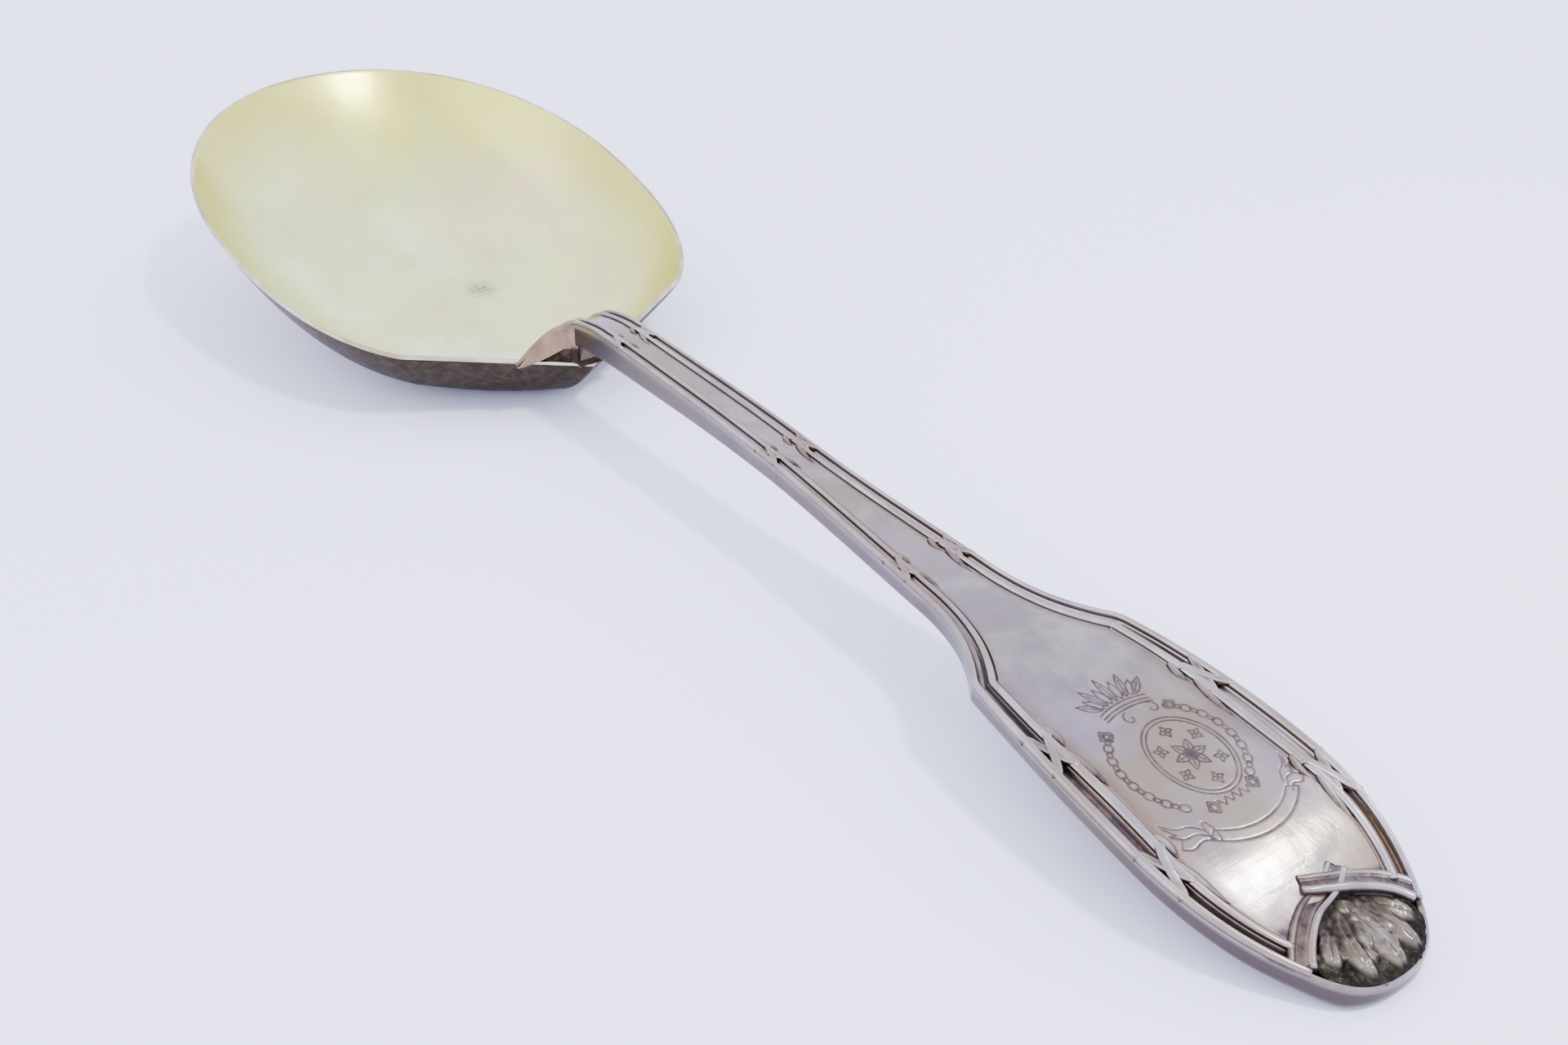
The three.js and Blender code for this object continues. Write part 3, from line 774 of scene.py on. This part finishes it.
def strip(name, path, section, taper=None, smooth_angle=None):
    """Sweeps a section of (side, up) points, in millimetres, along a path of (back, y, z)."""
    path = np.asarray(path, float)
    ahead = np.gradient(path, axis=0)
    ahead /= np.linalg.norm(ahead, axis=1)[:, None]
    side = np.cross((0, 0, 1.0), ahead)
    side /= np.linalg.norm(side, axis=1)[:, None]
    up = np.cross(ahead, side)
    up *= np.where(up[:, 2] < 0, -1, 1)[:, None]
    section = np.asarray(section, float)
    rings = []
    for i in range(len(path)):
        grow = (1, 1) if taper is None else taper(i / (len(path) - 1))
        rings.append(path[i] + side[i] * section[:, :1] * grow[0]
                     + up[i] * section[:, 1:] * grow[1])
    return loft(name, rings, smooth_angle=smooth_angle)


def half_round():
    """A reed's section: a flattened half circle with a foot sunk in the bar."""
    a = np.linspace(0, math.pi, 14)
    arch_part = np.column_stack([-np.cos(a), np.sin(a) ** 0.8])
    return np.vstack([arch_part, [(0.94, -0.35), (-0.94, -0.35)]])


# Each reed: its middle and width as shares of the band, where it starts, and its height.
REEDS = {"outer": (0.13, 0.26, 5.0, 0.54), "inner": (0.76, 0.3, 7.7, 0.5)}


def make_reed(kind, side_name, sign):
    """One reed along the edge, running on over the stem's bend."""
    share, width, start, tall = REEDS[kind]
    flat = inset_curve(share)
    flat = flat[(flat[:, 0] > start) & (flat[:, 0] <= STEM_END - 1)]
    flat = resample(flat, np.arange(0, lengths(flat)[-1], 0.45))
    soft = np.column_stack([np.convolve(flat[:, k], np.ones(5) / 5, "valid") for k in range(2)])
    flat = np.vstack([flat[:2], soft, flat[-2:]])
    run_on = np.arange(STEM_END - 0.6, STEM_END + 6.6, 0.3)
    tail = np.column_stack([run_on, np.full(len(run_on), flat[-1, 1])])
    flat = np.vstack([flat, tail])
    path = np.column_stack([flat[:, 0], sign * flat[:, 1], soften(top(flat[:, 0]) - 0.05)])
    half = width * band(flat[:, 0]) / 2
    count = len(path) - 1

    def taper(t):
        k = int(round(t * count))
        fade = min(1.0, (len(path) - k) / 9)
        return half[k] * (0.55 + 0.45 * fade), tall * (0.25 + 0.75 * fade)

    obj = strip(f"reed_{kind}_{side_name}", path, half_round(), taper)
    set_attribute(obj, "dirt", lambda p: 0.55 * smoothstep(p[:, 2] - top(p[:, 0]), 0.32, 0.0)
                  * (p[:, 0] < STEM_END + 3))
    return obj


def band_point(back, share, sign, lift):
    """A point over the reeded band at this distance back and share of the band."""
    i = np.interp(back, fine[:, 0], np.arange(len(fine)))
    at = np.array([np.interp(i, np.arange(len(fine)), inset_curve(share)[:, k]) for k in range(2)])
    return (at[0], sign * at[1], top(at[0]) + lift)


# A ribbon's section, with a low ridge along each edge: (side, up).
RIBBON = np.array([(-1, -0.1), (-0.94, 0.08), (-0.7, 0.14), (0, 0.05), (0.7, 0.14),
                   (0.94, 0.08), (1, -0.1), (0.9, -0.45), (-0.9, -0.45)])

# Each tie: where it is, how far its ends lie apart along the reeds, and half a ribbon's width.
TIES = {
    "neck": (137.6, 1.8, 0.34), "upper_stem": (99.8, 2.2, 0.38), "lower_stem": (71.4, 2.5, 0.42),
    "upper_blade": (37.8, 3.1, 0.5), "lower_blade": (20.0, 3.3, 0.54)}


def reed_profile(share):
    """How high the reeds stand over the bar at a share of the band."""
    total = 0
    for middle, width, _, tall in REEDS.values():
        total = max(total, tall * max(0, 1 - ((share - middle) / (width / 2)) ** 2) ** 0.4)
    return total


def make_tie(name, side_name, sign):
    """Two ribbons crossed flat over the reeds, and a pointed end trailing towards the tip."""
    back, reach, half = TIES[name]
    pieces = []
    for direction, extra in ((1, 0.1), (-1, 0.0)):
        path = []
        for t in np.linspace(-1, 1, 25):
            share = 0.5 + 0.47 * t
            lift = max(reed_profile(share), 0.62 * reed_profile(0.155) * (1 - 0.6 * abs(t)))
            lift += extra * (1 - t * t) - 0.1 - 0.34 * smoothstep(abs(t), 0.7, 1.0)
            bend = direction * reach * (t + 0.16 * math.sin(math.pi * t))
            path.append(band_point(back + bend, share, sign, lift))
        path = np.array(path)
        path[:, 2] = soften(path[:, 2])
        pieces.append(strip("part", path, RIBBON * (half, 1)))
    for start, stop, inner, swing in ((0.2, -2.1, 0.8, 0.3), (1.2, 0.1, 0.93, 0.12)):
        path = []
        for t in np.linspace(0, 1, 16):
            share = inner + swing * t * (3.0 / band(back)) + 0.08 * math.sin(math.pi * t)
            at = back + reach * (start + (stop - start) * t)
            path.append(band_point(at, share, sign, 0.22 - 0.26 * t))
        section = np.array([(-1, -0.1), (-0.5, 0.12), (0, 0.22), (0.5, 0.12), (1, -0.1), (0, -0.5)])
        pieces.append(strip("part", path, section * (half * 1.1, 1),
                            lambda t: (0.1 + math.sin(math.pi * (0.16 + 0.84 * t)) ** 0.8,
                                       0.3 + 0.7 * math.sin(math.pi * (0.1 + 0.9 * t)))))
    obj = join(f"tie_{name}_{side_name}", pieces)
    set_attribute(obj, "dirt", lambda p: 0.85 * smoothstep(p[:, 2] - top(p[:, 0]), 0.52, 0.1))
    return obj


def join(name, objects):
    """Joins several meshes into one object."""
    bm = bmesh.new()
    for o in objects:
        bm.from_mesh(o.data)
    for o in objects:
        mesh = o.data
        bpy.data.objects.remove(o)
        bpy.data.meshes.remove(mesh)
    mesh = bpy.data.meshes.new(name)
    bm.to_mesh(mesh)
    bm.free()
    return add_object(name, mesh)


# ---- the straps and the leaf

# Each strap's middle line from the outline to its end on the panel: (back, y).
STRAPS = {
    "right": ((5.9, -8.9), (7.4, -7.2), (8.9, -4.9), (9.9, -2.6), (10.4, -0.3), (10.9, 1.6),
              (11.9, 3.6)),
    "left": ((5.9, 8.9), (7.4, 7.7), (8.8, 5.9), (9.8, 3.9), (10.6, 1.9), (11.4, 0.1),
             (12.3, -1.7))}


def make_strap(side_name):
    """A band with a ridge along each edge. The left one passes over the right one."""
    knots = np.array(STRAPS[side_name], float)
    u = np.linspace(0, 1, len(knots))
    curve = spline(np.column_stack([u, knots[:, 0]])), spline(np.column_stack([u, knots[:, 1]]))
    t = np.linspace(0, 1, 46)
    back, y = curve[0](t), curve[1](t)
    crossing = smoothstep(t, 0.42, 0.62) * (1 - smoothstep(t, 0.82, 0.97))
    over = (0.14 if side_name == "left" else -0.3) * crossing - 0.14 * smoothstep(t, 0.5, 1)
    path = np.column_stack([back, y, top(back) - 0.04 + over])
    w = np.linspace(-1, 1, 29)
    ridge = lambda c, r: np.maximum(0, 1 - ((w - c) / r) ** 2) ** 0.6
    tall = 0.26 + 0.36 * np.maximum(ridge(-0.68, 0.32), ridge(0.68, 0.32))
    tall[[0, -1]] = -0.05
    section = np.vstack([np.column_stack([w * 1.38, tall]), [(1.3, -0.8), (-1.3, -0.8)]])
    obj = strip(f"strap_{side_name}", path, section, lambda k: (1.1 - 0.24 * k, 1.0))
    sign = 1 if side_name == "right" else -1
    lift = lambda p: np.interp(p[:, 1] * sign, y * sign, over)
    set_attribute(obj, "dirt", lambda p: 0.85 * smoothstep(
        p[:, 2] - top(p[:, 0]) - lift(p), 0.52, 0.24))
    return obj


def make_leaf():
    """An acanthus tip: pointed lobes fan out from under the straps, cut deep between them."""
    rows, cols = 110, 130
    back = np.linspace(0.25, 9.6, rows)[:, None] * np.ones((1, cols))
    edge = np.interp(back[:, 0], fine[:, 0], fine[:, 1]) - 0.5
    limit = np.minimum(edge, 7.6)
    limit *= 1 - smoothstep(back[:, 0], 5.2, 9.6) * 0.72
    y = np.linspace(-1, 1, cols)[None, :] * limit[:, None]
    # each lobe: its root, tip, width, height and bow
    lobes = [((9.0, 0.3), (0.5, 0.5), 2.0, 1.5, 0.9), ((8.4, -0.8), (1.2, -3.3), 1.7, 1.2, -1.1),
             ((8.4, 1.4), (1.1, 3.9), 1.7, 1.25, 1.1), ((8.0, -1.9), (3.9, -6.2), 1.6, 0.95, -0.7),
             ((8.0, 2.3), (3.7, 6.4), 1.6, 0.95, 0.7)]
    leaflets = []
    for root, tip, wide, tall, bow in lobes:
        root, tip = np.array(root), np.array(tip)
        ahead = tip - root
        across = np.array([-ahead[1], ahead[0]]) / np.linalg.norm(ahead)
        leaflets.append((root, tip, wide * 0.9, tall, bow))
        for share, turn in ((0.5, 1), (0.62, -1)):
            start = root + ahead * (share - 0.3)
            stop = root + ahead * (share + 0.16) + across * turn * wide * 0.85
            leaflets.append((start, stop, wide * 0.55, tall * 0.78, 0.3 * turn))
    crinkle = (np.sin(2.9 * back + 1.7 * np.sin(1.9 * y))
               * np.sin(2.3 * y + 1.3 * np.sin(2.2 * back))
               + 0.6 * np.sin(5.3 * y + 2.1 * back) * np.sin(4.7 * back - 1.4 * y))
    height = 0.34 + 0.12 * crinkle
    for k, (root, tip, wide, tall, bow) in enumerate(leaflets):
        d = tip - root
        along = ((back - root[0]) * d[0] + (y - root[1]) * d[1]) / (d @ d)
        away = ((back - root[0]) * -d[1] + (y - root[1]) * d[0]) / np.linalg.norm(d)
        away += bow * 0.5 * np.sin(np.clip(along, 0, 1) * math.pi)
        scallop = 1 + 0.12 * np.sin(along * 11 + 2 * k)
        half = wide * scallop * (0.42 + 0.58 * np.sin(np.clip(along * 0.86 + 0.1, 0, 1) * math.pi))
        body = np.clip(1 - np.abs(away / np.maximum(half, 0.05)) ** 1.6, 0, 1) ** 0.75
        vein = np.exp(-((away - 0.12 * bow) / 0.2) ** 2)
        fold = 1 - 0.32 * vein * smoothstep(along, 0.05, 0.35)
        curl = 0.4 + 0.75 * smoothstep(along, 0.25, 0.8) - 0.5 * smoothstep(along, 0.88, 1.03)
        inside = smoothstep(along, -0.06, 0.08) * (1 - smoothstep(along, 0.86, 1.05))
        relief = 0.3 + 0.85 * tall * body * curl * fold * inside + 0.07 * crinkle * body
        height = np.maximum(height, relief)
    dome = 0.15 * (1 - (y / 7) ** 2)
    z = top(back) + height * 0.86 + dome - 0.3
    base = np.stack([back, y, top(back) - 0.5], 2)
    surface = np.stack([back, y, z], 2)
    rim_drop = np.ones((rows, cols), bool)
    rim_drop[1:-1, 1:-1] = False
    surface[rim_drop, 2] = top(surface[rim_drop, 0]) - 0.2
    verts = np.vstack([world(surface.reshape(-1, 3)), world(base.reshape(-1, 3))])
    faces = grid_faces(rows, cols, False)
    n = rows * cols
    faces += [tuple(i + n for i in f[::-1]) for f in grid_faces(rows, cols, False)]
    ring = (list(range(cols)) + [r * cols + cols - 1 for r in range(1, rows)]
            + [(rows - 1) * cols + c for c in range(cols - 2, -1, -1)]
            + [r * cols for r in range(rows - 2, 0, -1)])
    for a, b in zip(ring, ring[1:] + ring[:1]):
        faces.append((a, b, b + n, a + n))
    soil_and_shade = 1 - smoothstep(np.concatenate([height.reshape(-1), np.zeros(n)]), 0.42, 1.2)
    return finish_mesh("acanthus_tip", verts, faces, dirt=soil_and_shade)


# ---- the neck

WING_REACH = 10.4  # how far each wing reaches from the middle
STEM_HALF = 3.4
WING_ROWS = 141
SHOULDER_LEAN = (CORNER[0] - NECK) / CORNER[1]  # how the bowl's shoulder slants back


def wing_low(y):
    """The lower edge of the wing: over the bowl's rim by the stem, and down past it at the end."""
    out = np.clip((np.abs(y) - STEM_HALF) / (WING_REACH - STEM_HALF), 0, 1)
    return 9.9 + 3.4 * (1 - out) ** 1.4


def make_neck():
    """The stem's end hooks over the bowl's edge, and a wing runs out along each shoulder."""
    rings = []
    for y in np.linspace(-WING_REACH, WING_REACH, WING_ROWS):
        out = np.clip((abs(y) - STEM_HALF) / (WING_REACH - STEM_HALF), 0, 1)
        rim_back = NECK + SHOULDER_LEAN * abs(y)
        rim = rim_height(rim_back)
        nose = 1 - smoothstep(abs(y), STEM_HALF - 0.45, STEM_HALF + 0.85)
        wing_top = 10.2 + 5.7 * (1 - out ** 1.6)
        behind = nose * (STEM_END - 0.1) + (1 - nose) * (rim_back - 0.7)
        height = nose * (float(top(STEM_END)) - 0.02) + (1 - nose) * wing_top
        front = nose * (STEM_END + 8.6) + (1 - nose) * (rim_back + 0.6 + 5.4 * (1 - out) ** 1.2)
        foot = float(inside_height(np.array([front]), np.array([y]))[0])
        foot = min(foot, rim) - 0.15
        low = wing_low(y)
        low += (NECK_RIM + 0.6 - low) * (1 - smoothstep(abs(y), STEM_HALF - 0.9, STEM_HALF))
        over = np.linspace(behind, front, 26)
        nose_line = np.minimum(height, hump(over) - REED_HEIGHT - 0.02)
        fall = (over - behind) / (front - behind)
        wing_line = foot + (height - foot) * np.clip(1 - fall ** 3, 0, 1) ** 0.45
        line = nose * nose_line + (1 - nose) * wing_line
        line[-1] = foot
        back_side = np.column_stack([np.full(9, behind), np.linspace(low, height - 0.15, 9)])
        round_over = np.linspace(0, math.pi / 2, 9)
        back_side[:, 0] += (1 - nose) * 0.5 * np.sin(round_over) ** 3
        front_curve = np.column_stack([over, line])
        front_curve[0, 0] += (1 - nose) * 0.75
        inner_back = np.linspace(front, rim_back + 0.35, 9)[1:]
        inner = np.minimum(inside_height(inner_back, np.full(8, y)), rim) - 0.15
        hollow = 0.6 * float(smoothstep(low - rim, 0.1, 1.2))
        under_lip = np.array([(rim_back - 0.05 + hollow, rim + 0.1 + 0.25 * (low - rim)),
                              (rim_back - 0.4 + hollow, rim + 0.72 * (low - rim))])
        bottom = np.vstack([np.column_stack([inner_back, inner]), under_lip])
        ring = np.vstack([back_side, front_curve, bottom])
        rings.append(np.column_stack([ring[:, 0], np.full(len(ring), y), ring[:, 1]]))
    obj = loft("neck_hook", rings, smooth_angle=48)

    # Painted shade: dark under the wing's lower edge outside the bowl, under the stem's end, and a
    # little at and below the rim's height.
    def soil_and_shade(p):
        shade_below_wing = smoothstep(wing_low(p[:, 1]) - p[:, 2], -0.02, 0.2)
        outside = smoothstep(NECK + SHOULDER_LEAN * np.abs(p[:, 1]) + 0.9 - p[:, 0], 0, 0.3)
        shade_under_stem = 0.9 * (np.abs(p[:, 1]) < STEM_HALF + 0.3) * smoothstep(
            p[:, 2], float(under(STEM_END)) + 0.2, float(under(STEM_END)) - 0.4)
        return np.maximum(np.maximum(shade_below_wing * outside, shade_under_stem), 0.35 * smoothstep(
            p[:, 2] - rim_height(p[:, 0]), 0.8, -0.6))

    set_attribute(obj, "dirt", soil_and_shade)
    return obj


def make_solder():
    """A thin uneven fillet of solder under the stem's end."""
    rings = []
    rng = np.random.default_rng(5)
    high = float(under(STEM_END)) - 0.05
    for y in np.linspace(-2.7, 2.7, 33):
        slim = 1 - 0.14 * abs(y)
        wobble = 0.07 * rng.standard_normal()
        curve = bezier((STEM_END - 1.9 * slim + wobble, high), (STEM_END - 0.8, high - 0.3),
                       (STEM_END - 0.2, high - 1.3), (STEM_END + 0.1, NECK_RIM + 0.5 + wobble), 14)
        ring = np.vstack([curve, [(STEM_END + 0.5, NECK_RIM + 0.4), (STEM_END + 0.5, high + 0.2),
                                  (STEM_END - 1.2, high + 0.2)]])
        rings.append(np.column_stack([ring[:, 0], np.full(len(ring), y), ring[:, 1]]))
    obj = loft("solder_fillet", rings, smooth_angle=60)
    set_attribute(obj, "dirt", lambda p: 0.4 + 0 * p[:, 0])
    return obj


# ---- the pieces and their finishes

# Each silver: three toned colours, least and most roughness, its residue and painted-shade colour
# and its blotches' scale.
SILVER = silver("old_silver", (146, 138, 136), (120, 112, 114), (126, 116, 92), (0.09, 0.2),
                (60, 53, 57), 130)
WORN = silver("worn_silver", (164, 158, 156), (134, 127, 130), (130, 116, 102), (0.16, 0.3),
              (38, 33, 36), 160)
# Painted reflection: the neck's silver is tinted warm brown, standing in for the gilt bowl and dark
# floor it reflects.
NECK_REFLECTION_SILVER = silver("neck_painted_reflection", (148, 125, 102), (117, 97, 78), (102, 80, 58), (0.2, 0.36),
                     (38, 28, 18), 200, mauve=(124, 104, 104))
DARK = silver("dark_silver", (128, 120, 108), (90, 84, 74), (76, 66, 52), (0.14, 0.3),
              (22, 20, 17), 420, toning=(60, 54, 44), mauve=(96, 84, 88))
# Painted shade and reflection: the bowl's back is a dark brown silver that stands in for the
# shadowed floor it reflects.
SHADED_BACK = silver("bowl_back_painted_shade", (120, 106, 84), (98, 84, 62), (80, 64, 42), (0.26, 0.42),
              (48, 38, 25), 45, toning=(76, 62, 42), mauve=(100, 88, 78))
SOLDER = silver("grey_solder", (88, 76, 60), (70, 58, 44), (60, 48, 32), (0.4, 0.6),
                (40, 32, 22), 500, scratch=0.35, mauve=(74, 64, 58))
# Painted highlight: the rim is a much lighter silver than the rest, for the bright line along it.
RIM_HIGHLIGHT_SILVER = silver("rim_painted_highlight", (206, 198, 176), (176, 164, 136), (150, 132, 100), (0.16, 0.3),
                    (90, 76, 52), 240, dirt=0.2, mauve=(170, 156, 150))
GILT = gilding()


def place(obj, node, slot, *materials):
    """Attaches a piece to the root, hides its CAD node and gives it its finish; the slot is not
    used.
    """
    for m in materials:
        obj.data.materials.append(m)
    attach(obj, "root")
    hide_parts(node)


place(make_bowl(), "bowl", "gilt_bowl", GILT, SHADED_BACK, RIM_HIGHLIGHT_SILVER)
place(make_bar(), "handle", "silver", SILVER)
for side_name, sign in (("left", 1), ("right", -1)):
    for kind in REEDS:
        place(make_reed(kind, side_name, sign), f"{kind}_reed_{side_name}", "worn_silver", WORN)
    for tie in TIES:
        place(make_tie(tie, side_name, sign), f"{tie}_tie_{side_name}", "worn_silver", WORN)
    place(make_strap(side_name), f"corner_strap_{side_name}", "worn_silver", WORN)
place(make_leaf(), "acanthus_leaf", "dark_silver", DARK)
place(make_neck(), "neck_shoulder", "silver", NECK_REFLECTION_SILVER)
place(make_solder(), "neck_solder", "solder", SOLDER)

# ---- floor, light and camera

FLOOR_HALF = 3.0


def make_floor():
    """A plain pale floor."""
    steps = 24
    at = np.linspace(-FLOOR_HALF, FLOOR_HALF, steps)
    verts = [(x, y, 0.0) for y in at for x in at]
    mesh = bpy.data.meshes.new("floor")
    mesh.from_pydata(verts, [], grid_faces(steps, steps, False))
    floor = add_object("floor", mesh)
    n = Nodes("pale_floor")
    tint = n.mix(n.noise(9, 3, 0.5), srgb(226, 229, 253), srgb(232, 234, 255))
    n.link(tint, n.shader.inputs["Base Color"])
    n.shader.inputs["Roughness"].default_value = 0.75
    n.shader.inputs["Specular IOR Level"].default_value = 0.2
    floor.data.materials.append(n.material)


make_floor()

CAMERA_PLACE = (0.18126, -0.12112, 0.12599)
CAMERA_AZIMUTH, CAMERA_ELEVATION, CAMERA_ROLL = 52.55, 31.24, 0.79
LENS, SENSOR = 39.375, 36.0

a, e, r = (math.radians(v) for v in (CAMERA_AZIMUTH, CAMERA_ELEVATION, CAMERA_ROLL))
look = Vector((-math.sin(a) * math.cos(e), math.cos(a) * math.cos(e), -math.sin(e)))
right = Vector((math.cos(a), math.sin(a), 0))
up = right.cross(look)
rolled_right = right * math.cos(r) + up * math.sin(r)
rolled_up = up * math.cos(r) - right * math.sin(r)
camera = add_object("camera", bpy.data.cameras.new("camera"))
camera.data.lens = LENS
camera.data.sensor_width = SENSOR
camera.data.clip_start = 0.005
camera.data.clip_end = 20
matrix = Matrix((rolled_right, rolled_up, -look)).transposed().to_4x4()
matrix.translation = Vector(CAMERA_PLACE)
camera.matrix_world = matrix
bpy.context.scene.camera = camera


def softbox(name, place_at, target, size, power, colour):
    light = bpy.data.lights.new(name, "AREA")
    light.shape = "RECTANGLE"
    light.size, light.size_y = size
    light.energy = power
    light.color = colour
    obj = add_object(name, light)
    obj.location = place_at
    obj.rotation_euler = (Vector(target) - Vector(place_at)).to_track_quat("-Z", "Y").to_euler()


# What the lights point at. The small window makes the bright spot on the panel.
BLADE = (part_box("handle")[1].x * 0.85, 0.0, 0.01)
BOWL = (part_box("bowl")[0].x * 0.6, 0.0, 0.01)
softbox("window", (0.102, 0.1863, 0.2374), BLADE, (0.014, 0.013), 0.12, (1.0, 0.99, 0.97))
softbox("lamp", (0.5, 0.12, 0.75), BOWL, (0.09, 0.09), 8, (1.0, 0.98, 0.95))
softbox("fill", (-0.1, -0.75, 0.6), BOWL, (0.9, 0.9), 5, (0.98, 0.98, 1.0))

room = bpy.data.worlds.new("room")
bpy.context.scene.world = room
room.use_nodes = True
background = room.node_tree.nodes["Background"]
background.inputs["Color"].default_value = (0.8, 0.8, 1.0, 1)
background.inputs["Strength"].default_value = 3.4
